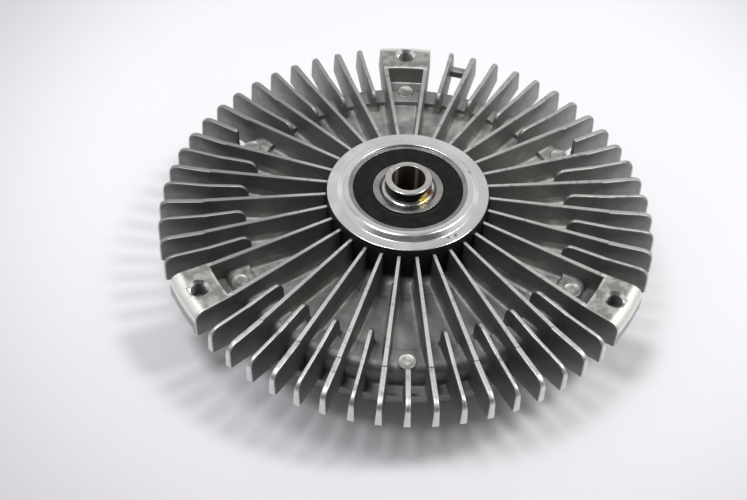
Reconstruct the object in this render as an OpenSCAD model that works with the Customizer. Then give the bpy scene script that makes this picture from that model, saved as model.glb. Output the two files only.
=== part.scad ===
// Viscous fan clutch, lying on its front cover with the shaft nose up.
// Sizes in millimetres, z = 0 at the front fins, the shaft axis along Z.

/* [Cooling fins] */
// Fin positions around the housing, the three fan bosses included
fin_count = 60; // [48:12:72]
// Thickness of a fin along its top edge
fin_top_t = 0.8; // [0.7:0.1:1.4]
// Thickness of a fin along its foot
fin_foot_t = 2.4; // [2:0.1:2.8]
// Reach of the fins past the rim of the housing
fin_overhang = 13.6; // [12:0.2:18]
// Height of the outer end of a fin
fin_end_h = 9.8; // [8:0.2:11]
// Rounding of the outer top corner of a fin
fin_corner_r = 4; // [2:0.5:6]
// Drop of the fin tops below the hub flange, at the hub
fin_root_drop = 2.6; // [1.6:0.2:4]
// Drop of the fin tops below the hub flange, above the rim
fin_rim_drop = 7.4; // [6:0.2:9]
// Further drop of the fin tops from the rim to the outer corner
fin_tip_drop = 0.5; // [0:0.1:1]
// Reach of the short fins inward from the rim
short_fin_l = 15.4; // [12:0.2:18]
// Rounding of the inner top corner of a short fin
short_fin_r = 3; // [1:0.5:4]

/* [Fan bosses] */
// Tapping bore of a fan bolt
fan_hole_d = 5; // [4:0.1:5.6]
// Mouth of the countersink over that bore
fan_sink_d = 7; // [6.4:0.1:7.6]
// Distance from the fin tips in to the centre of a fan bolt
fan_hole_inset = 6.4; // [5.8:0.1:7.4]
// Thickness of a fan boss
boss_t = 6.2; // [4.6:0.2:8]
// Drop from the top of a fan boss to the web that joins it to the housing wall
boss_web_drop = 7.3; // [6.6:0.1:8]
// Thickness of that web at the wall
boss_web_t = 2.4; // [1.6:0.2:3]

/* [Housing] */
// Height of the hub flange above the finned floor
hub_h = 14; // [13:0.5:18]
// Wall of the hub around the bearing
hub_wall = 6.6; // [5:0.2:9]
// Wall of the rolled lip that holds the bearing in
lip_wall = 2.8; // [2.2:0.1:3.6]
// Thickness of the web under the finned floor
web_t = 2.8; // [2:0.2:4]
// Rise of the land around the edge of the finned floor
land_rise = 1.7; // [1:0.1:2.4]
// Width of that land
land_w = 8.9; // [6:0.2:11]
// Wall of the housing around the rotor
rim_wall = 4.6; // [4.2:0.2:6]
// Width of the ledge outside that wall
rim_ledge = 4; // [3.4:0.2:5]
// Thickness of the ledge over the cover
ledge_t = 2.4; // [1.8:0.2:4]
// Skirt of the rim around the cover
skirt_t = 1.8; // [1.2:0.1:2.4]
// Thickness of the rim where it is rolled under the cover
roll_t = 0.8; // [0.6:0.1:1.4]
// Diameter of the ejector pads on the finned floor
pad_d = 5.8; // [4:0.2:7]

/* [Rotor] */
// Radius of the rotor
rotor_r = 59; // [54:1:66]
// Thickness of the rotor disc below its lands
disc_t = 2.2; // [1.6:0.2:4]
// Height of the labyrinth lands
land_h = 2.4; // [1.6:0.2:4]
// Width of one labyrinth land
land_t = 1.6; // [1.2:0.1:2]
// Labyrinth lands on the rotor
land_count = 7; // [4:1:8]
// Wall of the rotor hub around the shaft
rotor_hub_wall = 5; // [3:0.5:7]

/* [Bearing] */
// Outer diameter of the bearing
bearing_d = 40; // [38:1:44]
// Bore of the bearing
bearing_bore = 17; // [16.4:0.2:18]
// Width of the bearing
bearing_w = 12; // [11:0.5:13]
// Height of the bearing's rear face above the hub flange
bearing_stand = 1.2; // [0.6:0.1:2]
// Radial thickness of each bearing ring at its shoulders
ring_wall = 3; // [2.6:0.1:3.1]
// Ball diameter
ball_d = 6.7; // [6.2:0.1:7.2]
// Balls in the bearing
ball_count = 8; // [6:1:9]
// Thickness of a bearing seal
bearing_seal_t = 1.2; // [0.8:0.1:1.4]

/* [Shaft] */
// Bore for the centre bolt
bolt_bore_d = 11; // [9:0.1:11.5]
// Counterbore for the head of the centre bolt
head_bore_d = 18; // [16:0.2:20]
// Depth of that counterbore
head_bore_h = 11; // [8:0.5:13]
// Diameter of the nose that centres the clutch on its carrier
nose_d = 15.2; // [14.2:0.1:15.8]
// Height of the nose above the bearing's rear face
nose_h = 4.5; // [3.5:0.1:7]
// Sleeve diameter under the shaft seal
sleeve_d = 25; // [24:0.2:27]
// Rotor seat diameter
rotor_seat_d = 24; // [22.8:0.2:24.4]
// Collar diameter under the bearing's inner ring
collar_d = 22; // [20:0.2:23]

/* [Front cover] */
// Height of the cover's cooling fins
front_fin_h = 6.6; // [6:0.2:9]
// Cooling fins on the cover
front_fin_count = 36; // [24:4:48]
// Thickness of a cover fin
front_fin_t = 2; // [1.4:0.1:2.6]
// Taper of a cover fin's outer end
front_fin_taper = 4.6; // [2:0.2:8]
// Wall of the cover's face
cover_wall = 2.8; // [2.4:0.1:4]
// Depth of the oil reservoir in the cover
reservoir_h = 5; // [4:0.5:8]
// Thickness of the cover's flange in the rim
flange_t = 2; // [1.6:0.1:3]
// Thickness of the separator plate
plate_t = 1.2; // [0.8:0.1:1.6]
// Radial section of the shaft seal around the sleeve
seal_section = 5; // [4.6:0.2:6]
// Height of the shaft seal
seal_h = 7; // [6:0.2:7.6]
// Wall of the cover's hub around the shaft seal
cover_hub_wall = 3.4; // [2.4:0.2:4]
// Section of the cover's O-ring
rim_ring_d = 1.7; // [1.4:0.1:1.9]

/* [Temperature control] */
// Distance of the bimetal strip from the shaft axis
strip_offset = 28; // [27:0.5:31]
// Length of the bimetal strip
strip_l = 44; // [38:1:50]
// Width of the bimetal strip
strip_w = 10; // [8:0.5:12]
// Thickness of the bimetal strip
strip_t = 0.8; // [0.6:0.1:1.2]
// Height of the strip's outer face above the ends of the cover fins
strip_stand = 2.3; // [2.1:0.1:2.8]
// Sheet thickness of the clips that hold the strip
clip_t = 0.9; // [0.7:0.1:1.1]
// Foot of a clip, along the strip
clip_foot = 9; // [7:0.5:11]
// Grip of a clip over the end of the strip
clip_grip = 2.9; // [2:0.1:4]
// Shank diameter of the rivets
rivet_d = 3; // [2.4:0.1:3.4]
// Diameter of the control pin
pin_d = 4; // [3:0.1:5]
// Section of the control pin's O-ring
pin_ring_d = 1.5; // [1.2:0.1:1.7]
// Thickness of the valve lever
lever_t = 0.8; // [0.6:0.1:1.2]
// Width of the valve lever
lever_w = 7; // [6.4:0.2:9]
// Reach of the valve lever from the control pin to its pivot
lever_pivot = 34; // [30:1:38]
// Reach of the valve lever from the control pin to the feed port
port_reach = 19; // [15:1:22]
// Diameter of the feed port
port_d = 4.2; // [3:0.2:5]

/* [Clearances] */
// Axial gap beside the rotor
run_gap = 0.5; // [0.4:0.1:0.8]
// Radial gap between the lands, and around the rotor hub
side_gap = 0.4; // [0.3:0.1:0.6]
// Gap between the rotor and the wall around it
rim_gap = 0.8; // [0.5:0.1:1.5]
// Radial gap of a pressed seat
seat_gap = 0.02; // [0.01:0.01:0.03]
// Radial gap of a sliding or turning fit
slide_gap = 0.05; // [0.02:0.01:0.08]
// Gap around a ball, and round the lever's rivet
ball_gap = 0.12; // [0.08:0.02:0.2]
// Play of the valve lever under its rivet head
lever_play = 0.4; // [0.3:0.1:0.6]

/* [Hidden] */
$fn = 96;
fine_fn = 48;
ring_fn = 24;
ball_fn = 32;
arc_steps = 4;
// Overshoot of a cut past the face that it opens
cut_over = 0.5;
// Depth by which a cast feature is buried in what carries it
fin_bed = 0.6;

// Heights, from the front fins up to the nose
z_face = front_fin_h;
z_reservoir = z_face + cover_wall;
z_plate = z_reservoir + reservoir_h;
z_seat = z_plate + plate_t;
z_rotor = z_seat + run_gap;
z_disc = z_rotor + disc_t;
z_land = z_disc + land_h;
z_ceiling = z_land + run_gap;
z_floor = z_ceiling + web_t;
z_flange = z_floor + hub_h;
z_ledge = z_seat + ledge_t;
z_grip = z_seat - flange_t;
z_roll = z_grip - roll_t;
z_bearing = z_flange + bearing_stand - bearing_w;
z_bearing_top = z_bearing + bearing_w;
z_nose = z_bearing_top + nose_h;
shoulder_t = 2;
z_shoulder = z_bearing - shoulder_t;
z_rotor_hub = z_shoulder - run_gap;

// Radii, from the shaft out to the fin tips
hub_r = bearing_d / 2 + hub_wall;
lip_r = bearing_d / 2 + lip_wall;
lip_catch = 0.6;
lip_rise = 1;
rotor_hub_r = rotor_seat_d / 2 + rotor_hub_wall;
recess_r = rotor_hub_r + side_gap;
shoulder_r = bearing_d / 2 - 2 * ring_wall;
pocket_r = rotor_r + rim_gap;
wall_r = pocket_r + rim_wall;
rim_r = wall_r + rim_ledge;
tip_r = rim_r + fin_overhang;
fan_hole_pos = tip_r - fan_hole_inset;
skirt_r = rim_r - skirt_t;
roll_r = skirt_t + roll_t;
roll_grip = 2.2;
grip_r = skirt_r - roll_grip;
floor_fillet = 3.6;
groove_w = 1.7;
groove_depth = 0.4;
groove_pos = 7.4;
land_pos = wall_r - land_w;
land_round = 3.5;
land_draft = 0.5;
land_pitch = 2 * (land_t + side_gap);
land_edge = 3;
land_last = rotor_r - land_edge;
pad_count = 6;
pad_edge = 0.4;
pad_pos = wall_r - pad_edge - pad_d / 2;
pad_rise = 0.3;

// Fins
fin_pitch = 360 / fin_count;
nick_inset = 1.4;
nick_r = rim_r - nick_inset;
nick_w = 0.5;
nick_depth = 0.35;
fin_slope = (fin_rim_drop - fin_root_drop) / (nick_r - hub_r);
z_fin_tip = z_flange - fin_rim_drop - fin_tip_drop;
z_fin_end = z_fin_tip - fin_end_h;
boss_top = z_fin_tip + fin_tip_drop / 2;
z_boss_web = boss_top - boss_web_drop;
boss_gap = 0.2;
boss_draft = 0.6;
bridge_size = 3;
bridge_drop = 5.2;
// Place of the cast bar, in fin pitches from the first boss
bridge_place = 2.5;

// Cover
seal_d = sleeve_d + 2 * seal_section;
plate_seat = 1.2;
plate_r = pocket_r + plate_seat;
groove_wall = 0.9;
ring_room = 0.1;
ring_groove_in = plate_r + groove_wall;
ring_groove_w = rim_ring_d + ring_room;
ring_groove_out = ring_groove_in + ring_groove_w;
cover_r = skirt_r - slide_gap;
neck_wall = 0.2;
neck_r = ring_groove_out + neck_wall;
side_r = plate_r;
side_round = 2;
plate_ledge = 2.5;
reservoir_r = pocket_r - plate_ledge;
cover_hub_r = seal_d / 2 + cover_hub_wall;
cover_fin_lead = 2;
cap_t = 1.2;
cap_room = 1.5;
cap_r = sleeve_d / 2 + cap_room;
seal_sink = 0.8;
z_cover_hub = z_reservoir - seal_h - seal_sink;
z_shaft = 1;
plate_room = 0.8;

// Shaft seal
z_seal = z_reservoir - seal_h;
seal_case_t = 1.4;
seal_web = 1.5;
seal_lip_r = sleeve_d / 2 + slide_gap;
lip_root_t = 1.65;
lip_tip_t = 1.1;
lip_edge = 0.35;
lip_short = 1.4;
spring_d = 1.4;
spring_play = 0.04;

// Bearing
pitch_r = (bearing_d + bearing_bore) / 4;
race_r = ball_d / 2 + ball_gap;
inner_r = bearing_bore / 2 + ring_wall;
outer_r = bearing_d / 2 - ring_wall;
seal_seat = 1;
seal_inset = 0.2;
z_balls = z_bearing + bearing_w / 2;
cage_wall = 3.2;
cage_crown = 0.85;
cage_top = ball_d / 2 + cage_crown;
cage_h = 5.6;

// Temperature control
strip_y = -strip_offset;
z_strip = strip_stand;
z_strip_top = z_strip + strip_t;
clip_play = 0.1;
clip_rim = 1;
clip_w = strip_w + 2 * clip_rim;
strip_pocket = 3;
rivet_head_over = 0.9;
rivet_head_r = rivet_d / 2 + rivet_head_over;
rivet_head_t = 1;
rivet_dome = 0.5;
rivet_inset = 3.6;
rivet_x = strip_l / 2 + clip_t + clip_play + clip_foot - rivet_inset;
rivet_skin = 0.9;
rivet_depth = cover_wall - rivet_skin;
guide_wall = 3;
guide_r = pin_d / 2 + guide_wall;
guide_h = 1.4;
ring_lid = 0.4;
ring_play = 0.04;
touch_gap = 0.02;
z_lever = z_plate - lever_t;
lever_head_t = 0.8;
lever_end = 5;
lever_rivet_x = lever_pivot - lever_end;
return_r = 1.2;
return_pos = rotor_r - land_edge;
return_angle = 40;
dimple_r = 1.6;
dimple_h = run_gap / 2;
dimple_lead = 4;

// Points of a circular arc from angle a0 to a1
function arc(centre, r, a0, a1) = [
    for (i = [0 : arc_steps]) let (a = a0 + (a1 - a0) * i / arc_steps)
        centre + r * [cos(a), sin(a)]
];

// Height of the fin tops at radius r, inside the nick
function fin_top(r) = z_flange - fin_root_drop - (r - hub_r) * fin_slope;

// Top of a long fin, from inside the hub to the nick over the rim
function long_fin_top() = [
    [hub_r - fin_bed, fin_top(hub_r - fin_bed)],
    [nick_r - nick_w, fin_top(nick_r - nick_w)],
    [nick_r, fin_top(nick_r) - nick_depth],
    [nick_r + nick_w, fin_top(nick_r)]
];

// Top of a short fin, with its rounded inner corner
function short_fin_top(start) = concat(
    arc([start + short_fin_r, fin_top(start) - short_fin_r], short_fin_r, 180, 90),
    [[nick_r, fin_top(nick_r)]]
);

// Outer part of a long or short fin, from the corner of the tip to the foot on the ledge
function fin_end() = concat(
    arc([tip_r - fin_corner_r, z_fin_tip - fin_corner_r], fin_corner_r, 90, 0),
    [
        [tip_r, z_fin_end],
        [rim_r, z_ledge + fin_bed],
        [rim_r - fin_bed, z_ledge - fin_bed],
        [wall_r - fin_bed, z_ledge - fin_bed]
    ]
);

// One drafted fin along +X with the given side outline
module fin(outline) {
    intersection() {
        rotate([90, 0, 0])
            linear_extrude(height = 2 * fin_foot_t, center = true)
                polygon(outline);
        rotate([90, 0, 90])
            linear_extrude(height = tip_r + fin_bed)
                polygon([
                    [-fin_top_t / 2, z_flange],
                    [-fin_foot_t / 2, z_ledge - fin_bed],
                    [fin_foot_t / 2, z_ledge - fin_bed],
                    [fin_top_t / 2, z_flange]
                ]);
    }
}

module long_fin() {
    fin(concat(
        [[hub_r - fin_bed, z_floor - fin_bed]],
        long_fin_top(),
        fin_end(),
        [[wall_r - fin_bed, z_floor - fin_bed]]
    ));
}

module short_fin() {
    start = rim_r - short_fin_l;
    fin(concat(
        [[start, z_floor - fin_bed]],
        short_fin_top(start),
        fin_end(),
        [[wall_r - fin_bed, z_floor - fin_bed]]
    ));
}

// Stub of a fin that begins outside an ejector pad, over the ledge
module stub_fin() {
    start = nick_r + nick_w;
    fin(concat(
        [[start, z_ledge - fin_bed], [start, fin_top(start)]],
        arc([tip_r - fin_corner_r, z_fin_tip - fin_corner_r], fin_corner_r, 90, 0),
        [[tip_r, z_fin_end], [rim_r, z_ledge + fin_bed], [rim_r - fin_bed / 2, z_ledge - fin_bed]]
    ));
}

// Turned section of the housing: hub, web, rim and the labyrinth in its ceiling
module housing_section() {
    bore = bearing_d / 2 + seat_gap;
    edge = 0.4;
    lip_round = 0.5;
    lip_foot = 0.7;
    rotate_extrude()
        polygon(concat(
            [
                [shoulder_r, z_shoulder],
                [shoulder_r, z_bearing],
                [bore, z_bearing],
                [bore, z_bearing_top + seat_gap],
                [bearing_d / 2 - lip_catch, z_bearing_top + seat_gap],
                [bearing_d / 2 - lip_catch, z_bearing_top + lip_rise - lip_round],
                [bearing_d / 2 - lip_catch + lip_round, z_bearing_top + lip_rise],
                [lip_r - lip_foot - lip_round, z_bearing_top + lip_rise],
                [lip_r - lip_foot, z_bearing_top + lip_rise - lip_round],
                [lip_r - lip_foot, z_flange + lip_foot],
                [lip_r, z_flange],
                [hub_r - edge, z_flange],
                [hub_r, z_flange - edge]
            ],
            arc([hub_r + floor_fillet, z_floor + floor_fillet], floor_fillet, 180, 270),
            [
                [hub_r + groove_pos - groove_w / 2 - groove_depth, z_floor],
                [hub_r + groove_pos - groove_w / 2, z_floor - groove_depth],
                [hub_r + groove_pos + groove_w / 2, z_floor - groove_depth],
                [hub_r + groove_pos + groove_w / 2 + groove_depth, z_floor],
                [land_pos, z_floor],
                [land_pos + land_draft, z_floor + land_rise]
            ],
            arc([wall_r - land_round, z_floor + land_rise - land_round], land_round, 90, 0),
            [[wall_r, z_ledge], [rim_r, z_ledge]],
            arc([rim_r - roll_r, z_roll + roll_r], roll_r, 0, -90),
            [
                [grip_r, z_roll],
                [grip_r, z_grip],
                [skirt_r, z_grip],
                [skirt_r, z_seat],
                [pocket_r, z_seat],
                [pocket_r, z_ceiling]
            ],
            [
                for (k = [0 : land_count - 2]) let (r = land_last - land_t - side_gap - k * land_pitch)
                    each [
                        [r, z_ceiling],
                        [r, z_disc + run_gap],
                        [r - land_t, z_disc + run_gap],
                        [r - land_t, z_ceiling]
                    ]
            ],
            [[recess_r, z_ceiling], [recess_r, z_shoulder]]
        ));
}

// Lug between two long fins that takes a fan bolt, with its web to the wall, along +X
module fan_boss() {
    sink_h = (fan_sink_d - fan_hole_d) / 2;
    hole_h = boss_web_drop + boss_web_t;
    difference() {
        rotate([0, 0, -fin_pitch])
            rotate_extrude(angle = 2 * fin_pitch)
                polygon(concat(
                    [
                        [wall_r - fin_bed, z_boss_web - boss_web_t],
                        [wall_r - fin_bed, z_boss_web],
                        [rim_r + boss_gap + boss_draft, z_boss_web],
                        [rim_r + boss_gap, boss_top]
                    ],
                    arc([tip_r - fin_corner_r, boss_top - fin_corner_r], fin_corner_r, 90, 0),
                    [[tip_r, boss_top - boss_t]]
                ));
        translate([fan_hole_pos, 0, boss_top]) {
            translate([0, 0, -hole_h - cut_over])
                cylinder(d = fan_hole_d, h = hole_h + 2 * cut_over);
            translate([0, 0, -sink_h])
                cylinder(d1 = fan_hole_d, d2 = fan_sink_d + 2 * cut_over, h = sink_h + cut_over);
        }
    }
}

// Cast bar left between two neighbouring fins beside the first boss
module fin_bridge() {
    width = 2 * fan_hole_pos * sin(fin_pitch / 2);
    rotate([0, 0, 90 - bridge_place * fin_pitch])
        translate([fan_hole_pos - bridge_size / 2, -width / 2, z_fin_tip - bridge_drop - bridge_size / 2])
            cube([bridge_size, width, bridge_size]);
}

module clutch_body() {
    third = fin_count / 3;
    color("silver") {
        housing_section();
        for (i = [0 : fin_count - 1]) {
            rotate([0, 0, 90 + i * fin_pitch]) {
                if (i % 2 == 1)
                    long_fin();
                else if (i % third == 0)
                    fan_boss();
                else if (i % third == third / 2)
                    stub_fin();
                else
                    short_fin();
            }
        }
        for (k = [0 : pad_count - 1])
            rotate([0, 0, (k + 1 / 2) * 360 / pad_count])
                translate([pad_pos, 0, z_floor - fin_bed])
                    cylinder(d = pad_d, h = land_rise + pad_rise + fin_bed);
        fin_bridge();
    }
}

// Cooling fin of the cover along +X, tapered at its outer end
module cover_fin() {
    rotate([90, 0, 0])
        linear_extrude(height = front_fin_t, center = true)
            polygon([
                [cover_hub_r - fin_bed, z_face + fin_bed],
                [cover_hub_r - fin_bed, z_cover_hub],
                [cover_hub_r + cover_fin_lead, 0],
                [side_r - side_round - front_fin_taper, 0],
                [side_r - side_round, z_face],
                [side_r - side_round, z_face + fin_bed]
            ]);
}

module cover_section() {
    rotate_extrude()
        polygon(concat(
            [
                [seal_d / 2 + seat_gap, z_cover_hub],
                [cover_hub_r, z_cover_hub],
                [cover_hub_r, z_face]
            ],
            arc([side_r - side_round, z_face + side_round], side_round, -90, 0),
            [
                [neck_r, z_grip],
                [cover_r, z_grip],
                [cover_r, z_seat],
                [ring_groove_out, z_seat],
                [ring_groove_out, z_seat - rim_ring_d],
                [ring_groove_in, z_seat - rim_ring_d],
                [ring_groove_in, z_seat],
                [plate_r + slide_gap, z_seat],
                [plate_r + slide_gap, z_plate],
                [reservoir_r, z_plate],
                [reservoir_r, z_reservoir],
                [cover_hub_r, z_reservoir],
                [cover_hub_r - cap_t / 2, z_reservoir + cap_t],
                [cap_r, z_reservoir + cap_t],
                [cap_r, z_reservoir],
                [seal_d / 2 + seat_gap, z_reservoir]
            ]
        ));
}

module front_cover() {
    pocket_l = 2 * (strip_l / 2 + clip_t + clip_play + clip_foot + strip_pocket);
    pocket_w = clip_w + 2 * strip_pocket;
    color("silver")
        difference() {
            union() {
                cover_section();
                difference() {
                    for (i = [0 : front_fin_count - 1])
                        rotate([0, 0, i * 360 / front_fin_count])
                            cover_fin();
                    translate([-pocket_l / 2, strip_y - pocket_w / 2, -cut_over])
                        cube([pocket_l, pocket_w, z_face + cut_over]);
                }
                translate([0, strip_y, z_face + fin_bed])
                    cylinder(r = guide_r, h = cover_wall - fin_bed + guide_h, $fn = fine_fn);
            }
            translate([0, strip_y, z_face - cut_over])
                cylinder(d = pin_d + 2 * slide_gap, h = cover_wall + guide_h + 2 * cut_over, $fn = fine_fn);
            translate([0, strip_y, z_reservoir - ring_lid - pin_ring_d])
                cylinder(r = pin_d / 2 + pin_ring_d + 2 * ring_play, h = pin_ring_d + 2 * ring_play, $fn = fine_fn);
            for (side = [-1, 1])
                translate([side * rivet_x, strip_y, z_face - cut_over])
                    cylinder(d = rivet_d + 2 * seat_gap, h = rivet_depth + cut_over, $fn = fine_fn);
        }
}

module cover_o_ring() {
    color("dimgray")
        rotate_extrude()
            translate([ring_groove_in + ring_groove_w / 2, z_seat - rim_ring_d / 2])
                circle(d = rim_ring_d - 2 * seat_gap, $fn = ring_fn);
}

module separator_plate() {
    rivet_hole_d = rivet_d + 2 * seat_gap;
    color("lightsteelblue") {
        difference() {
            translate([0, 0, z_plate])
                cylinder(r = plate_r, h = plate_t);
            translate([0, 0, z_plate - cut_over]) {
                cylinder(d = sleeve_d + 2 * plate_room, h = plate_t + 2 * cut_over);
                translate([-port_reach, strip_y, 0])
                    cylinder(d = port_d, h = plate_t + 2 * cut_over, $fn = fine_fn);
                rotate([0, 0, return_angle])
                    translate([return_pos, 0, 0])
                        cylinder(r = return_r, h = plate_t + 2 * cut_over, $fn = fine_fn);
                translate([lever_rivet_x, strip_y, 0])
                    cylinder(d = rivet_hole_d, h = plate_t + 2 * cut_over, $fn = fine_fn);
            }
            translate([lever_rivet_x, strip_y, z_seat - plate_t / 2])
                cylinder(d1 = rivet_hole_d, d2 = rivet_hole_d + 2 * plate_t, h = plate_t, $fn = fine_fn);
        }
        rotate([0, 0, return_angle + dimple_lead])
            translate([return_pos, 0, z_plate + plate_t / 2])
                cylinder(r = dimple_r, h = plate_t / 2 + dimple_h, $fn = fine_fn);
    }
}

module rotor() {
    color("gainsboro")
        rotate_extrude()
            polygon(concat(
                [
                    [rotor_seat_d / 2 + seat_gap, z_rotor],
                    [rotor_r, z_rotor],
                    [rotor_r, z_disc]
                ],
                [
                    for (k = [0 : land_count - 1]) let (r = land_last - k * land_pitch)
                        each [
                            [r, z_disc],
                            [r, z_land],
                            [r - land_t, z_land],
                            [r - land_t, z_disc]
                        ]
                ],
                [
                    [rotor_hub_r, z_disc],
                    [rotor_hub_r, z_rotor_hub],
                    [rotor_seat_d / 2 + seat_gap, z_rotor_hub]
                ]
            ));
}

// Hollow shaft: head counterbore in front, bolt bore, and the centring nose
module drive_shaft() {
    nose_r = nose_d / 2;
    flare = (bearing_bore - nose_d) / 2;
    edge = 0.4;
    bore_edge = 0.15;
    color("lightgray")
        rotate_extrude()
            polygon(concat(
                [
                    [head_bore_d / 2 + edge, z_shaft],
                    [sleeve_d / 2 - edge, z_shaft],
                    [sleeve_d / 2, z_shaft + edge],
                    [sleeve_d / 2, z_rotor],
                    [rotor_seat_d / 2, z_rotor],
                    [rotor_seat_d / 2, z_rotor_hub],
                    [collar_d / 2, z_rotor_hub],
                    [collar_d / 2, z_bearing],
                    [bearing_bore / 2, z_bearing],
                    [bearing_bore / 2, z_bearing_top]
                ],
                arc([nose_r + flare, z_bearing_top + flare], flare, 255, 180),
                [
                    [nose_r, z_nose - edge],
                    [nose_r - edge, z_nose],
                    [bolt_bore_d / 2 + bore_edge, z_nose],
                    [bolt_bore_d / 2, z_nose - bore_edge],
                    [bolt_bore_d / 2, z_shaft + head_bore_h],
                    [head_bore_d / 2, z_shaft + head_bore_h],
                    [head_bore_d / 2, z_shaft + edge]
                ]
            ));
}

// Ball race cut around the bearing's pitch circle
module ball_race() {
    rotate_extrude()
        translate([pitch_r, z_balls])
            circle(r = race_r, $fn = fine_fn);
}

module bearing_outer_ring() {
    chamfer = 0.5;
    seat_r = outer_r + seal_seat;
    seat_h = bearing_seal_t + seal_inset;
    color("silver")
        difference() {
            rotate_extrude()
                polygon([
                    [bearing_d / 2, z_bearing + chamfer],
                    [bearing_d / 2, z_bearing_top - chamfer],
                    [bearing_d / 2 - chamfer, z_bearing_top],
                    [seat_r, z_bearing_top],
                    [seat_r, z_bearing_top - seat_h],
                    [outer_r, z_bearing_top - seat_h],
                    [outer_r, z_bearing + seat_h],
                    [seat_r, z_bearing + seat_h],
                    [seat_r, z_bearing],
                    [bearing_d / 2 - chamfer, z_bearing]
                ]);
            ball_race();
        }
}

module bearing_inner_ring() {
    chamfer = 0.7;
    bore = bearing_bore / 2 + seat_gap;
    color("silver")
        difference() {
            rotate_extrude()
                polygon([
                    [bore, z_bearing + chamfer],
                    [bore + chamfer, z_bearing],
                    [inner_r, z_bearing],
                    [inner_r, z_bearing_top],
                    [bore + chamfer, z_bearing_top],
                    [bore, z_bearing_top - chamfer]
                ]);
            ball_race();
        }
}

module bearing_balls() {
    color("whitesmoke")
        for (i = [0 : ball_count - 1])
            rotate([0, 0, i * 360 / ball_count])
                translate([pitch_r, 0, z_balls])
                    sphere(d = ball_d, $fn = ball_fn);
}

// Crown cage whose open pockets snap round the balls
module bearing_cage() {
    color("darkkhaki")
        difference() {
            translate([0, 0, z_balls + cage_top - cage_h])
                difference() {
                    cylinder(r = pitch_r + cage_wall / 2, h = cage_h);
                    translate([0, 0, -cut_over])
                        cylinder(r = pitch_r - cage_wall / 2, h = cage_h + 2 * cut_over);
                }
            for (i = [0 : ball_count - 1])
                rotate([0, 0, i * 360 / ball_count])
                    translate([pitch_r, 0, z_balls])
                        sphere(r = race_r, $fn = ball_fn);
        }
}

// Rubber seal washer with a raised lip at the inner ring, lying at height z
module bearing_seal(z) {
    lip = 0.9;
    lip_slope = 0.5;
    color("black")
        translate([0, 0, z])
            rotate_extrude()
                polygon([
                    [inner_r + 2 * slide_gap, 0],
                    [outer_r + seal_seat - seat_gap, 0],
                    [outer_r + seal_seat - seat_gap, bearing_seal_t],
                    [inner_r + lip + lip_slope, bearing_seal_t],
                    [inner_r + lip, bearing_seal_t + seal_inset],
                    [inner_r + 2 * slide_gap, bearing_seal_t + seal_inset]
                ]);
}

module bearing_rear_seal() {
    bearing_seal(z_bearing_top - seal_inset - bearing_seal_t);
}

module bearing_front_seal() {
    translate([0, 0, 2 * z_balls])
        mirror([0, 0, 1])
            bearing_rear_seal();
}

// Lip seal pressed into the cover's hub
module shaft_seal() {
    color("black")
        rotate_extrude()
            polygon([
                [seal_lip_r + lip_tip_t / 2, z_seal],
                [seal_d / 2, z_seal],
                [seal_d / 2, z_reservoir],
                [seal_d / 2 - seal_case_t, z_reservoir],
                [seal_d / 2 - seal_case_t, z_seal + seal_web],
                [seal_lip_r + lip_root_t, z_seal + seal_web],
                [seal_lip_r + lip_tip_t, z_reservoir - lip_short],
                [seal_lip_r, z_reservoir - lip_short - lip_edge]
            ]);
}

// Garter spring around the lip of the shaft seal
module seal_spring() {
    spring_r = seal_lip_r + (lip_root_t + lip_tip_t) / 2 + spring_play + spring_d / 2;
    color("dimgray")
        rotate_extrude()
            translate([spring_r, z_reservoir - lip_short - spring_d])
                circle(d = spring_d, $fn = ring_fn);
}

module bimetal_strip() {
    color("goldenrod")
        translate([-strip_l / 2, strip_y - strip_w / 2, z_strip])
            cube([strip_l, strip_w, strip_t]);
}

// Folded clip that grips one end of the strip, on the +X side
module strip_clip() {
    leg = strip_l / 2 + clip_play;
    z_low = z_strip - clip_play - clip_t;
    translate([0, strip_y, 0])
        difference() {
            rotate([90, 0, 0])
                linear_extrude(height = clip_w, center = true)
                    polygon([
                        [leg - clip_grip, z_low],
                        [leg + clip_t, z_low],
                        [leg + clip_t, z_face - clip_t],
                        [leg + clip_t + clip_foot, z_face - clip_t],
                        [leg + clip_t + clip_foot, z_face],
                        [leg, z_face],
                        [leg, z_strip_top + clip_play + clip_t],
                        [leg - clip_grip, z_strip_top + clip_play + clip_t],
                        [leg - clip_grip, z_strip_top + clip_play],
                        [leg, z_strip_top + clip_play],
                        [leg, z_strip - clip_play],
                        [leg - clip_grip, z_strip - clip_play]
                    ]);
            translate([rivet_x, 0, z_face - clip_t - cut_over])
                cylinder(d = rivet_d + 2 * seat_gap, h = clip_t + 2 * cut_over, $fn = fine_fn);
        }
}

module strip_clips() {
    color("gray") {
        strip_clip();
        mirror([1, 0, 0])
            strip_clip();
    }
}

module clip_rivets() {
    color("silver")
        for (side = [-1, 1])
            translate([side * rivet_x, strip_y, z_face - clip_t - rivet_head_t])
                rotate_extrude($fn = fine_fn)
                    polygon([
                        [0, 0],
                        [rivet_head_r - rivet_dome, 0],
                        [rivet_head_r, rivet_dome],
                        [rivet_head_r, rivet_head_t],
                        [rivet_d / 2, rivet_head_t],
                        [rivet_d / 2, rivet_head_t + clip_t + rivet_depth - touch_gap],
                        [0, rivet_head_t + clip_t + rivet_depth - touch_gap]
                    ]);
}

module control_pin() {
    edge = 0.3;
    length = z_lever - z_strip_top - 2 * touch_gap;
    color("silver")
        translate([0, strip_y, z_strip_top + touch_gap])
            rotate_extrude($fn = fine_fn)
                polygon([
                    [0, 0],
                    [pin_d / 2 - edge, 0],
                    [pin_d / 2, edge],
                    [pin_d / 2, length],
                    [0, length]
                ]);
}

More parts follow.
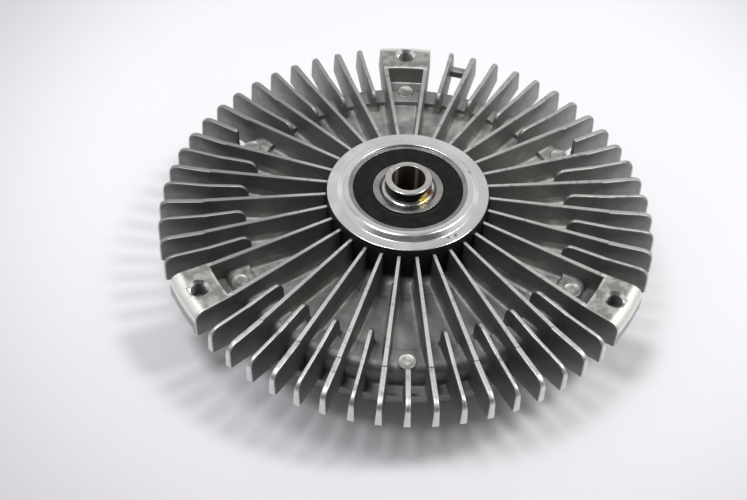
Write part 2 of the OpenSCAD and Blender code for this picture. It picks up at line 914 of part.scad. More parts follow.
module pin_o_ring() {
    color("dimgray")
        translate([0, strip_y, z_reservoir - ring_lid - pin_ring_d / 2 + ring_play])
            rotate_extrude($fn = fine_fn)
                translate([pin_d / 2 + ring_play + pin_ring_d / 2, 0])
                    circle(d = pin_ring_d, $fn = ring_fn);
}

// Spring blade that covers the feed port and follows the control pin
module valve_lever() {
    color("slategray")
        difference() {
            union() {
                translate([-port_reach, strip_y - lever_w / 2, z_lever])
                    cube([lever_pivot + port_reach, lever_w, lever_t]);
                translate([-port_reach, strip_y, z_lever])
                    cylinder(d = lever_w, h = lever_t, $fn = fine_fn);
            }
            translate([lever_rivet_x, strip_y, z_lever - cut_over])
                cylinder(d = rivet_d + 2 * lever_play, h = lever_t + 2 * cut_over, $fn = fine_fn);
        }
}

module lever_rivet() {
    z_head = z_lever - lever_play - lever_head_t;
    color("silver")
        translate([lever_rivet_x, strip_y, 0])
            rotate_extrude($fn = fine_fn)
                polygon([
                    [0, z_head],
                    [rivet_head_r + lever_play, z_head],
                    [rivet_head_r + lever_play, z_head + lever_head_t],
                    [rivet_d / 2, z_head + lever_head_t],
                    [rivet_d / 2, z_seat - plate_t / 2],
                    [rivet_d / 2 + plate_t / 2, z_seat],
                    [0, z_seat]
                ]);
}

clutch_body();
front_cover();
cover_o_ring();
separator_plate();
rotor();
drive_shaft();
bearing_outer_ring();
bearing_inner_ring();
bearing_balls();
bearing_cage();
bearing_rear_seal();
bearing_front_seal();
shaft_seal();
seal_spring();
bimetal_strip();
strip_clips();
clip_rivets();
control_pin();
pin_o_ring();
valve_lever();
lever_rivet();
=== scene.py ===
import random
from math import cos, pi, radians, sin, sqrt, tan

import bmesh
import bpy
from mathutils import Matrix, Vector


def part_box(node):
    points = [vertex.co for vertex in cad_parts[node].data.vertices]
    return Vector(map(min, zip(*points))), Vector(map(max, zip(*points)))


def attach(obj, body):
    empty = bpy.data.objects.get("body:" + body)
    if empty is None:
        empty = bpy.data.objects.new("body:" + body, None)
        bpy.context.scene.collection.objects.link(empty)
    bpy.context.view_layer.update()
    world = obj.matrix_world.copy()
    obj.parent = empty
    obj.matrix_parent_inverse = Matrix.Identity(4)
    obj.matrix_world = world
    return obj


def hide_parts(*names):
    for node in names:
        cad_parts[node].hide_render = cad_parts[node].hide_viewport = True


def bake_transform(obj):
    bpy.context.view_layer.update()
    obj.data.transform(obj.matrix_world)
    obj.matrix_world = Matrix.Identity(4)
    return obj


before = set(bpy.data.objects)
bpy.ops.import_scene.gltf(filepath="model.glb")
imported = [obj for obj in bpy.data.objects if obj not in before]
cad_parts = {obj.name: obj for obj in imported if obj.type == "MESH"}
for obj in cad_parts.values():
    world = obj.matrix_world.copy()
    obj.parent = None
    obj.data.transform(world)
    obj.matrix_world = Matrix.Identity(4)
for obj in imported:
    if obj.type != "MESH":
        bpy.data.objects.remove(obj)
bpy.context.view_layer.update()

# A viscous fan clutch that lies on its front cover. Meshes are built in millimetres and scaled to metres
# when they become pieces. Materials, floor, lights and camera are in metres.
MM = 0.001
TURN_STEPS = 240
CORNER_STEPS = 5
SHARP_ANGLE = radians(35)


def box_mm(node):
    """Corners of a CAD node in millimetres"""
    low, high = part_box(node)
    return low / MM, high / MM


body_low, body_high = box_mm("clutch_body")
cover_high = box_mm("front_cover")[1]
ring_low, ring_high = box_mm("bearing_outer_ring")
rotor_low, rotor_high = box_mm("rotor")
shaft_low, shaft_high = box_mm("drive_shaft")
seal_low, seal_high = box_mm("shaft_seal")
strip_low, strip_high = box_mm("bimetal_strip")
clips_low, clips_high = box_mm("strip_clips")
rivets_low, rivets_high = box_mm("clip_rivets")
pin_low, pin_high = box_mm("control_pin")

# Heights of the housing
z_bearing, z_bearing_top = ring_low.z, ring_high.z
z_flange = z_bearing_top - 1.2
z_floor = z_flange - 14
z_land = z_floor + 1.7
z_seat = cover_high.z
z_ledge = z_seat + 2.4
z_grip = z_seat - 2
z_roll = body_low.z
z_ceiling = z_floor - 2.8
z_shoulder = z_bearing - 2
z_lip = z_bearing_top + 0.5
z_tip = z_flange - 7.9
z_fin_end = z_tip - 9.8
boss_top = z_tip + 0.25
boss_t = 8.4
z_web = boss_top - 7.3
web_t = 2.4

# Radii of the housing
bearing_r = ring_high.x
tip_r = body_high.x
rim_r = tip_r - 13.6
wall_r = rim_r - 4
land_r = wall_r - 8.9
pocket_r = rotor_high.x + 0.8
hub_r = bearing_r + 6.6
lip_r = bearing_r + 2.8
skirt_r = rim_r - 1.8
shoulder_r = bearing_r - 5.6
recess_r = 17.4
fan_bolt_r = tip_r - 6.4
short_start_r = rim_r - 15.4
nick_r = rim_r - 1.4
pad_r = wall_r - 3.3
edge_r = wall_r - 3.5

# Fins
fin_count = 60
fin_pitch = 2 * pi / fin_count
fin_top_t = 0.75
fin_foot_t = 2.4
fin_top_drop = 2.6
fin_fall = 4.8
fin_slope = fin_fall / (nick_r - hub_r)
fin_bed = 0.6
fin_edge = 0.3
foot_fillet = 1.3
root_fillet = 0.4
fin_corner = 4
nick_w = 0.2
nick_depth = 0.25
nick_widening = 0.15
short_narrowing = 0.1
land_slant = 0.5

# Bearing and shaft
fit_gap = 0.02
shaft_bore_r = 5.5
bolt_head_r = 9
nose_r = 7.6
shaft_seat_r = 8.5
inner_ring_r = 11.5
seal_seat_r = bearing_r - 2
seal_t = 1.4

# Front cover and its temperature control
cover_face = clips_high.z
cover_inside = seal_high.z
cover_side = pocket_r + 1.2
cover_fin_count = 36
strip_y = (strip_low.y + strip_high.y) / 2
rivet_r = 1.5
rivet_head_r = 2.4
rivet_x = rivets_high.x - rivet_head_r


def fin_top(r):
    """Height of the fin tops at a radius inside the nick"""
    return z_flange - fin_top_drop - (r - hub_r) * fin_slope


# Mesh helpers


def rounded(corners):
    """Closed outline of (x, z, radius) corners, with an arc at each corner that has a radius"""
    points = []
    for i, (x, z, radius) in enumerate(corners):
        corner = Vector((x, z))
        if radius == 0:
            points.append(corner)
            continue
        before = Vector(corners[i - 1][:2]) - corner
        after = Vector(corners[(i + 1) % len(corners)][:2]) - corner
        half = before.angle(after) / 2
        reach = min(radius / tan(half), before.length, after.length)
        centre = corner + (before.normalized() + after.normalized()).normalized() * (reach / cos(half))
        start = corner + before.normalized() * reach - centre
        end = corner + after.normalized() * reach - centre
        shares = [k / CORNER_STEPS for k in range(CORNER_STEPS + 1)]
        points += [centre + start.slerp(end, share) * start.length for share in shares]
    return points


def turned(points, closed=True, steps=TURN_STEPS):
    """Outline of (radius, height) points spun round the Z axis"""
    bm = bmesh.new()
    ring = [bm.verts.new((x, 0, z)) for x, z in points]
    for a, b in zip(ring, ring[1:] + ring[:1] if closed else ring[1:]):
        bm.edges.new((a, b))
    bmesh.ops.spin(bm, geom=bm.verts[:] + bm.edges[:], cent=(0, 0, 0), axis=(0, 0, 1), angle=2 * pi,
                   steps=steps, use_merge=True)
    return cleaned(bm)


def cleaned(bm):
    """Doubles merged and faces turned outwards"""
    bmesh.ops.remove_doubles(bm, verts=bm.verts, dist=1e-4)
    bmesh.ops.recalc_face_normals(bm, faces=bm.faces)
    return bm


def slab(points, width):
    """Outline in the XZ plane given a width along Y"""
    bm = bmesh.new()
    face = bm.faces.new([bm.verts.new((x, -width / 2, z)) for x, z in points])
    grown = bmesh.ops.extrude_face_region(bm, geom=[face])["geom"]
    far_side = [v for v in grown if isinstance(v, bmesh.types.BMVert)]
    bmesh.ops.translate(bm, vec=(0, width, 0), verts=far_side)
    return cleaned(bm)


def round_edges(bm, edges, radius, segments):
    """Edges of a mesh bevelled to a radius"""
    bmesh.ops.bevel(bm, geom=edges, offset=radius, segments=segments, profile=0.5,
                    affect="EDGES", material=-1)


def block(low, high, edge, segments=3):
    """Box between two corners with rounded edges"""
    low, high = Vector(low), Vector(high)
    bm = bmesh.new()
    bmesh.ops.create_cube(bm, size=1)
    bmesh.ops.scale(bm, vec=high - low, verts=bm.verts)
    bmesh.ops.translate(bm, vec=(low + high) / 2, verts=bm.verts)
    round_edges(bm, bm.edges[:], edge, segments)
    return cleaned(bm)


def bisected(bm, normal, places):
    """Mesh cut across at each place along a normal, so that it can be shaped there"""
    for place in places:
        bmesh.ops.bisect_plane(bm, geom=bm.verts[:] + bm.edges[:] + bm.faces[:], dist=1e-5,
                               plane_co=Vector(normal) * place, plane_no=normal)
    return bm


def placed(bm, *matrices):
    """Copies of a mesh, one for each matrix, in one mesh"""
    mesh = bpy.data.meshes.new("copy")
    bm.to_mesh(mesh)
    bm.free()
    result = bmesh.new()
    for matrix in matrices:
        copy = mesh.copy()
        copy.transform(matrix)
        result.from_mesh(copy)
        bpy.data.meshes.remove(copy)
    bpy.data.meshes.remove(mesh)
    return result


def merged(*parts):
    """Separate meshes gathered into one"""
    result = bmesh.new()
    for bm in parts:
        mesh = bpy.data.meshes.new("part")
        bm.to_mesh(mesh)
        bm.free()
        result.from_mesh(mesh)
        bpy.data.meshes.remove(mesh)
    return result


def is_flake(face):
    """Whether a face and its neighbours have the same corners, so that they hold nothing between them"""
    return all(len({v for f in e.link_faces for v in f.verts}) == len(face.verts) for e in face.edges)


def combined(operation, base, *others):
    """Closed meshes joined to the base, or cut from it, one after another, with no flat flakes left over"""
    blanks = []
    for bm in (base, *others):
        mesh = bpy.data.meshes.new("blank")
        bm.to_mesh(mesh)
        bm.free()
        blanks.append(bpy.data.objects.new("blank", mesh))
        bpy.context.scene.collection.objects.link(blanks[-1])
    for other in blanks[1:]:
        modifier = blanks[0].modifiers.new("combine", "BOOLEAN")
        modifier.object = other
        modifier.operation = operation
        modifier.solver = "MANIFOLD"
    result = bmesh.new()
    result.from_object(blanks[0], bpy.context.evaluated_depsgraph_get())
    bmesh.ops.delete(result, geom=[f for f in result.faces if is_flake(f)], context="FACES")
    for blank in blanks:
        bpy.data.meshes.remove(blank.data)
    return result


def turn(angle):
    return Matrix.Rotation(angle, 4, "Z")


def around(bm, radius, angles):
    """Copies of a mesh at a radius, one for each angle"""
    return placed(bm, *(turn(a) @ Matrix.Translation((radius, 0, 0)) for a in angles))


def piece(name, bm, body, node, slot, *materials):
    """Finished piece that stands for a CAD node, and rides on a body if one is named"""
    bmesh.ops.scale(bm, vec=(MM, MM, MM), verts=bm.verts)
    mesh = bpy.data.meshes.new(name)
    bm.to_mesh(mesh)
    bm.free()
    for material in materials:
        mesh.materials.append(material)
    mesh.shade_smooth()
    mesh.set_sharp_from_angle(angle=SHARP_ANGLE)
    shown = bpy.data.objects.new(name, mesh)
    bpy.context.scene.collection.objects.link(shown)
    if body:
        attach(shown, body)
    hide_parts(node)
    return shown


# Material helpers


def add(tree, kind, *inputs, **settings):
    """Shader node with its settings, and its inputs set or linked in order"""
    node = tree.nodes.new(kind)
    for key, value in settings.items():
        setattr(node, key, value)
    for socket, value in zip(node.inputs, inputs):
        if isinstance(value, bpy.types.NodeSocket):
            tree.links.new(value, socket)
        elif value is not None:
            socket.default_value = value
    return node


def blank_material(name, metallic):
    material = bpy.data.materials.new(name)
    material.use_nodes = True
    tree = material.node_tree
    shader = tree.nodes["Principled BSDF"]
    shader.inputs["Metallic"].default_value = metallic
    return material, tree, shader


def position(tree):
    return add(tree, "ShaderNodeTexCoord").outputs["Object"]


def noise(tree, vector, scale, detail=4.0, rough=0.55):
    return add(tree, "ShaderNodeTexNoise", vector, None, scale, detail, rough).outputs["Fac"]


def remap(tree, value, low, high, to_low=0.0, to_high=1.0, kind="SMOOTHSTEP"):
    node = add(tree, "ShaderNodeMapRange", value, low, high, to_low, to_high, interpolation_type=kind)
    return node.outputs["Result"]


def calc(tree, operation, a, b=None):
    return add(tree, "ShaderNodeMath", a, b, operation=operation).outputs["Value"]


def weighted(tree, a, a_share, b, b_share):
    """Sum of two values, each times its share"""
    return calc(tree, "ADD", calc(tree, "MULTIPLY", a, a_share), calc(tree, "MULTIPLY", b, b_share))


def blend(tree, factor, low, high):
    """Colour between two colours"""
    node = add(tree, "ShaderNodeMix", factor, data_type="RGBA")
    for socket, value in ((node.inputs[6], low), (node.inputs[7], high)):
        if isinstance(value, bpy.types.NodeSocket):
            tree.links.new(value, socket)
        else:
            socket.default_value = (*value, 1)
    return node.outputs[2]


def relief(tree, shader, *layers):
    """Bumps stacked on a shader's normal, each a height and its depth in metres"""
    normal = None
    for height, depth in layers:
        normal = add(tree, "ShaderNodeBump", 1.0, depth, None, height, normal).outputs["Normal"]
    tree.links.new(normal, shader.inputs["Normal"])


def spin_radius(tree, axes):
    """Distance from the shaft axis"""
    flat = add(tree, "ShaderNodeCombineXYZ", axes[0], axes[1], 0.0).outputs["Vector"]
    return add(tree, "ShaderNodeVectorMath", flat, operation="LENGTH").outputs["Value"]


def spot(tree, where, centre, inner, outer):
    """Mask of a soft round patch, with its centre and radii in millimetres"""
    away = add(tree, "ShaderNodeVectorMath", where, tuple(c * MM for c in centre), operation="DISTANCE")
    return remap(tree, away.outputs["Value"], outer * MM, inner * MM)


def lathe_marks(tree, radius, height, scale):
    """Fine rings left by turning"""
    along = add(tree, "ShaderNodeCombineXYZ", radius, height, 0.0).outputs["Vector"]
    return noise(tree, along, scale, 3.0, 0.7)


# Materials


def cast_aluminium():
    """Die-cast skin: walls in painted shade, a mottled floor painted lighter as lit, painted shade round
    the hub, fin tops with wear and painted light, and bright outer ends
    """
    material, tree, shader = blank_material("cast_aluminium", 1.0)
    where = position(tree)
    axes = add(tree, "ShaderNodeSeparateXYZ", where).outputs
    radius = spin_radius(tree, axes)
    blotch = noise(tree, where, 70.0, 3.0)
    mottle = noise(tree, where, 380.0, 5.0)
    grain = noise(tree, where, 1300.0, 4.0)
    # Painted shade: the walls are the same cast skin as the floor, painted darker
    wall = blend(tree, remap(tree, blotch, 0.35, 0.7), (0.205, 0.205, 0.198), (0.255, 0.255, 0.245))
    # Painted light: the walls lighter towards the back and the right
    painted_light_side = remap(tree, weighted(tree, axes[0], 0.5, axes[1], 1.0), -10 * MM, 80 * MM)
    wall = blend(tree, painted_light_side, wall, (0.37, 0.37, 0.355))
    # Painted light: the floor is painted lighter than the walls, as lit from above
    cloud = noise(tree, where, 170.0, 3.0)
    floor = blend(tree, remap(tree, cloud, 0.35, 0.68), (0.36, 0.36, 0.345), (0.60, 0.60, 0.57))
    # Where the floor's painted light shows: up to just above the land, broken up by the blotches
    pale = calc(tree, "MULTIPLY", remap(tree, axes[2], (z_land + 1.4) * MM, (z_land + 0.3) * MM),
                remap(tree, blotch, 0.32, 0.6, 0.25, 1.0))
    # The painted light fades to a fifth outside the land, so the land's rounded edge mostly keeps the
    # painted wall shade
    inside_land = remap(tree, radius, (land_r + 0.8) * MM, (land_r - 1.2) * MM, 0.2, 1.0)
    pale = calc(tree, "MULTIPLY", pale, inside_land)
    # Painted light: the floor darker towards the front and lighter towards the back
    pale = calc(tree, "MULTIPLY", pale, remap(tree, axes[1], -50 * MM, 10 * MM, 0.45, 1.0))
    # Brighter patches round four of the ejector pads, given the floor's painted light colour
    for angle, reach in ((a, r) for a in (30, 150, 210, 330) for r in (61, 55, 49)):
        bright_floor_patch = spot(tree, where, (reach * cos(radians(angle)), reach * sin(radians(angle)), z_land), 2.5, 6)
        bright_floor_patch = calc(tree, "MULTIPLY", bright_floor_patch, remap(tree, mottle, 0.35, 0.55, 0.3, 1.0))
        pale = calc(tree, "MAXIMUM", pale, bright_floor_patch)
    for x, y in ((-24, -38), (-21, -32), (-26, -42)):
        stain = spot(tree, where, (x, y, z_floor), 0.6, 2.6)
        stain = calc(tree, "MULTIPLY", stain, remap(tree, mottle, 0.35, 0.6))
        floor = blend(tree, stain, floor, (0.95, 0.90, 0.62))
        pale = calc(tree, "MAXIMUM", pale, stain)
    # Painted shade: the hub's side wall darkened almost to black, on the top side only
    painted_hub_shade = calc(tree, "MULTIPLY", remap(tree, radius, (hub_r + 1) * MM, (hub_r + 0.2) * MM),
                 remap(tree, axes[2], (z_floor - 2) * MM, (z_floor - 1) * MM))
    skin = blend(tree, painted_hub_shade, blend(tree, pale, wall, floor), (0.05, 0.05, 0.048))
    # The crests lie close below the line of the fin tops, which falls outwards and bends down at the tips
    corner_r = tip_r - fin_corner
    drop = calc(tree, "ADD", remap(tree, radius, hub_r * MM, nick_r * MM, 0.0, fin_fall * MM, "LINEAR"),
                remap(tree, radius, nick_r * MM, corner_r * MM, nick_depth * MM, 0.7 * MM, "LINEAR"))
    bend = remap(tree, radius, corner_r * MM, tip_r * MM, 0.0, 1.0, "LINEAR")
    fall = calc(tree, "SQRT", calc(tree, "SUBTRACT", 1.0, calc(tree, "MULTIPLY", bend, bend)))
    drop = calc(tree, "ADD", drop, remap(tree, fall, 1.0, 0.0, 0.0, fin_corner * MM, "LINEAR"))
    above = calc(tree, "ADD", calc(tree, "ADD", axes[2], drop), -fin_top(hub_r) * MM)
    crest = calc(tree, "MULTIPLY", remap(tree, above, -0.35 * MM, -0.12 * MM),
                 remap(tree, radius, (hub_r + 0.2) * MM, (hub_r + 0.5) * MM))
    # Fin tops: wear with painted light, darker on the left and lighter at the front and near the hub
    crest_wear_and_painted_light = blend(tree, remap(tree, axes[0], -60 * MM, 20 * MM), (0.36, 0.36, 0.35), (0.54, 0.54, 0.52))
    crest_wear_and_painted_light = blend(tree, remap(tree, axes[1], -20 * MM, -60 * MM), crest_wear_and_painted_light, (0.62, 0.62, 0.60))
    crest_wear_and_painted_light = blend(tree, remap(tree, radius, 48 * MM, 30 * MM), crest_wear_and_painted_light, (0.64, 0.64, 0.62))
    speckled_crest = blend(tree, remap(tree, mottle, 0.5, 0.72), crest_wear_and_painted_light, (0.34, 0.34, 0.33))
    outer = remap(tree, radius, (tip_r - 0.8) * MM, (tip_r - 0.2) * MM)
    topped = blend(tree, crest, skin, speckled_crest)
    tree.links.new(blend(tree, outer, topped, (0.80, 0.80, 0.80)), shader.inputs["Base Color"])
    dull = remap(tree, mottle, 0.3, 0.75, 0.54, 0.68)
    dull = calc(tree, "SUBTRACT", dull, calc(tree, "MULTIPLY", crest, 0.14))
    tree.links.new(dull, shader.inputs["Roughness"])
    relief(tree, shader, (mottle, 0.03 * MM), (grain, 0.015 * MM))
    return material


def boss_skin():
    """Smooth cast skin of ejector marks and fan bosses, whose tops are smudged, with painted highlights on
    the inner top edges and rounded outer edges, and painted shade on the end faces
    """
    material, tree, shader = blank_material("boss_skin", 1.0)
    where = position(tree)
    axes = add(tree, "ShaderNodeSeparateXYZ", where).outputs
    radius = spin_radius(tree, axes)
    smudge = noise(tree, where, 260.0, 4.0)
    top = blend(tree, remap(tree, smudge, 0.42, 0.60), (0.32, 0.32, 0.29), (0.50, 0.50, 0.46))
    # Painted highlight along the inner top edge of the bosses, broken up by the smudges
    inner = calc(tree, "MULTIPLY", remap(tree, radius, (rim_r + 1.8) * MM, (rim_r + 0.7) * MM),
                 remap(tree, radius, (rim_r - 1) * MM, rim_r * MM))
    inner = calc(tree, "MULTIPLY", inner, remap(tree, smudge, 0.36, 0.54))
    top = blend(tree, inner, top, (0.70, 0.70, 0.68))
    corner_r, corner_z = tip_r - fin_corner, boss_top - fin_corner
    # Painted highlight on the upper part of the rounded outer edge, painted shade on the end face below it
    painted_highlight_band = remap(tree, axes[2], (corner_z - 0.4) * MM, (corner_z + 0.6) * MM)
    edge = blend(tree, painted_highlight_band, (0.42, 0.42, 0.40), (0.92, 0.92, 0.87))
    bent = remap(tree, radius, (corner_r - 0.6) * MM, (corner_r + 1.2) * MM)
    tree.links.new(blend(tree, bent, top, edge), shader.inputs["Base Color"])
    tree.links.new(remap(tree, smudge, 0.3, 0.7, 0.42, 0.54), shader.inputs["Roughness"])
    relief(tree, shader, (noise(tree, where, 700.0), 0.03 * MM))
    return material


def machined_aluminium():
    """Turned hub flange, rolled lip and countersinks, with a few dings"""
    material, tree, shader = blank_material("machined_aluminium", 1.0)
    where = position(tree)
    axes = add(tree, "ShaderNodeSeparateXYZ", where).outputs
    marks = lathe_marks(tree, spin_radius(tree, axes), axes[2], 3200.0)
    smear = noise(tree, where, 120.0, 4.0)
    bare = blend(tree, remap(tree, smear, 0.35, 0.7), (0.71, 0.71, 0.685), (0.82, 0.82, 0.795))
    dings = [
        ((12.8, -20.5, z_flange), 0.25, 0.7), ((15.0, -19.6, z_flange), 0.2, 0.6),
        ((15.2, -19.1, z_flange), 0.2, 0.6), ((20.5, 7.7, z_lip), 0.3, 1.0)
    ]
    for centre, inner, outer in dings:
        bare = blend(tree, spot(tree, where, centre, inner, outer), bare, (0.22, 0.21, 0.19))
    tree.links.new(bare, shader.inputs["Base Color"])
    tree.links.new(remap(tree, smear, 0.3, 0.7, 0.24, 0.32), shader.inputs["Roughness"])
    relief(tree, shader, (marks, 0.006 * MM), (noise(tree, where, 500.0), 0.012 * MM))
    return material


def turned_metal(name, light, dark):
    """Turned or ground metal"""
    material, tree, shader = blank_material(name, 1.0)
    where = position(tree)
    axes = add(tree, "ShaderNodeSeparateXYZ", where).outputs
    marks = lathe_marks(tree, spin_radius(tree, axes), axes[2], 4500.0)
    smear = noise(tree, where, 150.0, 4.0)
    tree.links.new(blend(tree, remap(tree, smear, 0.35, 0.7), dark, light), shader.inputs["Base Color"])
    tree.links.new(remap(tree, smear, 0.3, 0.7, 0.22, 0.36), shader.inputs["Roughness"])
    relief(tree, shader, (marks, 0.01 * MM))
    return material


def nose_metal():
    """Turned shaft: bright end and base, a wall in painted shade and reflection, a bore in painted shade
    with two painted glints, and a painted gold-coloured glint and a rusty patch beside the base
    """
    material, tree, shader = blank_material("shaft_steel", 1.0)
    where = position(tree)
    axes = add(tree, "ShaderNodeSeparateXYZ", where).outputs
    radius = spin_radius(tree, axes)
    smear = noise(tree, where, 150.0, 4.0)
    bare = blend(tree, remap(tree, smear, 0.35, 0.7), (0.52, 0.51, 0.49), (0.70, 0.69, 0.67))
    z_end = shaft_high.z
    # Painted shade and reflection: the nose's outer wall darkened almost to black
    on_wall = calc(tree, "MULTIPLY", remap(tree, axes[2], (z_end - 0.1) * MM, (z_end - 0.5) * MM),
                   remap(tree, axes[2], (z_bearing_top + 0.5) * MM, (z_bearing_top + 1.2) * MM))
    outside = remap(tree, radius, (nose_r - 0.9) * MM, (nose_r - 0.5) * MM)
    painted_shade_wall_and_bore = blend(tree, calc(tree, "MULTIPLY", on_wall, outside), bare, (0.07, 0.065, 0.055))
    # The bore painted dark as shade, with two painted vertical glints on its wall
    in_bore = calc(tree, "MULTIPLY", remap(tree, axes[2], (z_end - 0.1) * MM, (z_end - 0.4) * MM),
                   remap(tree, radius, (shaft_bore_r + 0.8) * MM, (shaft_bore_r + 0.4) * MM))
    flat = add(tree, "ShaderNodeCombineXYZ", axes[0], axes[1], 0.0).outputs["Vector"]
    painted_bore_glints = calc(tree, "MAXIMUM", spot(tree, flat, (-3.9, 3.9, 0), 0.3, 1.2),
                   spot(tree, flat, (2.75, 4.76, 0), 0.2, 0.9))
    painted_shade_wall_and_bore = blend(tree, in_bore, painted_shade_wall_and_bore, blend(tree, painted_bore_glints, (0.16, 0.13, 0.09), (0.75, 0.70, 0.60)))
    # Painted glint: a gold-coloured spot beside the base of the nose
    painted_gold_glint = calc(tree, "MULTIPLY", spot(tree, where, (5.2, -6.0, z_bearing_top + 1.2), 1.2, 2.6),
                  remap(tree, smear, 0.35, 0.5))
    rusty = spot(tree, where, (7.8, -2.2, z_bearing_top + 1.5), 1.2, 3.0)
    stained = blend(tree, painted_gold_glint, blend(tree, rusty, painted_shade_wall_and_bore, (0.30, 0.12, 0.05)), (0.95, 0.78, 0.28))
    tree.links.new(stained, shader.inputs["Base Color"])
    dull = remap(tree, smear, 0.3, 0.7, 0.18, 0.3)
    dull = calc(tree, "MAXIMUM", dull, calc(tree, "MULTIPLY", in_bore, 0.6))
    tree.links.new(dull, shader.inputs["Roughness"])
    relief(tree, shader, (lathe_marks(tree, radius, axes[2], 4500.0), 0.01 * MM))
    return material


def rolled_metal(name, light, dark):
    """Sheet metal with fine marks along X"""
    material, tree, shader = blank_material(name, 1.0)
    where = position(tree)
    stretched = add(tree, "ShaderNodeMapping", where, None, None, (60.0, 2500.0, 2500.0)).outputs["Vector"]
    marks = noise(tree, stretched, 1.0, 3.0)
    tree.links.new(blend(tree, marks, dark, light), shader.inputs["Base Color"])
    tree.links.new(remap(tree, marks, 0.3, 0.7, 0.3, 0.42), shader.inputs["Roughness"])
    relief(tree, shader, (marks, 0.008 * MM))
    return material


def moulded(name, light, dark, dull):
    """Rubber or polymer with a faint dusty bloom"""
    material, tree, shader = blank_material(name, 0.0)
    where = position(tree)
    bloom = noise(tree, where, 300.0, 5.0)
    tree.links.new(blend(tree, remap(tree, bloom, 0.35, 0.8), dark, light), shader.inputs["Base Color"])
    tree.links.new(remap(tree, bloom, 0.3, 0.8, dull - 0.1, dull + 0.1), shader.inputs["Roughness"])
    shader.inputs["Specular IOR Level"].default_value = 0.15
    relief(tree, shader, (noise(tree, where, 1500.0), 0.01 * MM))
    return material


cast = cast_aluminium()
machined = machined_aluminium()
smooth_cast = boss_skin()
rotor_metal = turned_metal("rotor_aluminium", (0.78, 0.78, 0.78), (0.66, 0.66, 0.67))
ring_steel = turned_metal("bearing_steel", (0.42, 0.42, 0.41), (0.28, 0.28, 0.27))
nose_steel = nose_metal()
sheet_steel = rolled_metal("sheet_steel", (0.66, 0.66, 0.66), (0.5, 0.5, 0.5))
bimetal = rolled_metal("bimetal", (0.72, 0.62, 0.42), (0.56, 0.46, 0.29))
rubber = moulded("seal_rubber", (0.016, 0.015, 0.012), (0.005, 0.005, 0.004), 0.6)
polymer = moulded("cage_polymer", (0.62, 0.56, 0.4), (0.52, 0.46, 0.32), 0.45)


# Housing


def flare(distance, radius):
    """Extra width of a fillet at a distance from the surface that it runs into"""
    gap = min(max(distance, 0), radius)
    return radius - sqrt(radius ** 2 - (radius - gap) ** 2)


fin_end = [
    (tip_r, z_tip, fin_corner), (tip_r, z_fin_end, 0.8),
    (rim_r, z_ledge + fin_bed, 0), (rim_r - fin_bed, z_ledge - fin_bed, 0)
]
fin_foot = [(wall_r - fin_bed, z_ledge - fin_bed, 0), (wall_r - fin_bed, z_floor - fin_bed, 0)]


def fin(inner, foot, step):
    """Fin along +X with drafted sides, rounded edges, filleted foot and a step in width past the nick"""
    bm = slab(rounded(inner + fin_end + foot), 1)
    for v in bm.verts:
        share = (z_flange - v.co.z) / (z_flange - z_ledge)
        v.co.y *= fin_top_t + (fin_foot_t - fin_top_t) * share
    exposed = [
        e for e in bm.edges
        if e.verts[0].co.y * e.verts[1].co.y > 0 and all(v.co.x > hub_r for v in e.verts)
        and all(v.co.z > z_floor or v.co.x > rim_r - 0.1 for v in e.verts)
    ]
    round_edges(bm, exposed, fin_edge, 3)
    shares = (0, 0.08, 0.25, 0.55, 1)
    bisected(bm, (0, 0, 1), [base + foot_fillet * k for base in (z_floor, z_land) for k in shares])
    bisected(bm, (1, 0, 0), [hub_r + root_fillet * k for k in shares])
    fading = [edge_r + k for k in (-2, -1, 0, 1)]
    bisected(bm, (1, 0, 0), [land_r, land_r + land_slant, *fading, nick_r, nick_r + nick_w])
    for v in bm.verts:
        side = 1 if v.co.y > 0 else -1
        base = z_land if v.co.x > land_r + land_slant / 2 else z_floor
        fade = min(max((edge_r + 1 - v.co.x) / 3, 0), 1)
        v.co.y += side * max(fade * flare(v.co.z - base, foot_fillet), flare(v.co.x - hub_r, root_fillet))
        if v.co.x > nick_r + nick_w / 2:
            v.co.y += side * step * min(max((v.co.z - z_land - foot_fillet) / 3, 0), 1)
            v.co.z -= nick_depth if step > 0 and v.co.z > fin_top(nick_r) - 2 else 0
    return cleaned(bm)


def long_fin(step):
    """Fin from the hub to the tip"""
    root = hub_r - fin_bed
    inner = [(root, z_floor - fin_bed, 0), (root, fin_top(root), 0), (nick_r, fin_top(nick_r), 0)]
    return fin(inner, fin_foot, step)


def short_fin():
    """Fin that starts on the floor, a little inside the land"""
    start = short_start_r
    inner = [(start, z_floor - fin_bed, 0), (start, fin_top(start), 3), (nick_r, fin_top(nick_r), 0)]
    return fin(inner, fin_foot, -short_narrowing)


def stub_fin():
    """Fin that stands on the rim alone, outside an ejector mark"""
    start = nick_r + nick_w
    return fin([(start, z_ledge - fin_bed, 0), (start, fin_top(nick_r), 0.5)], [], nick_widening)


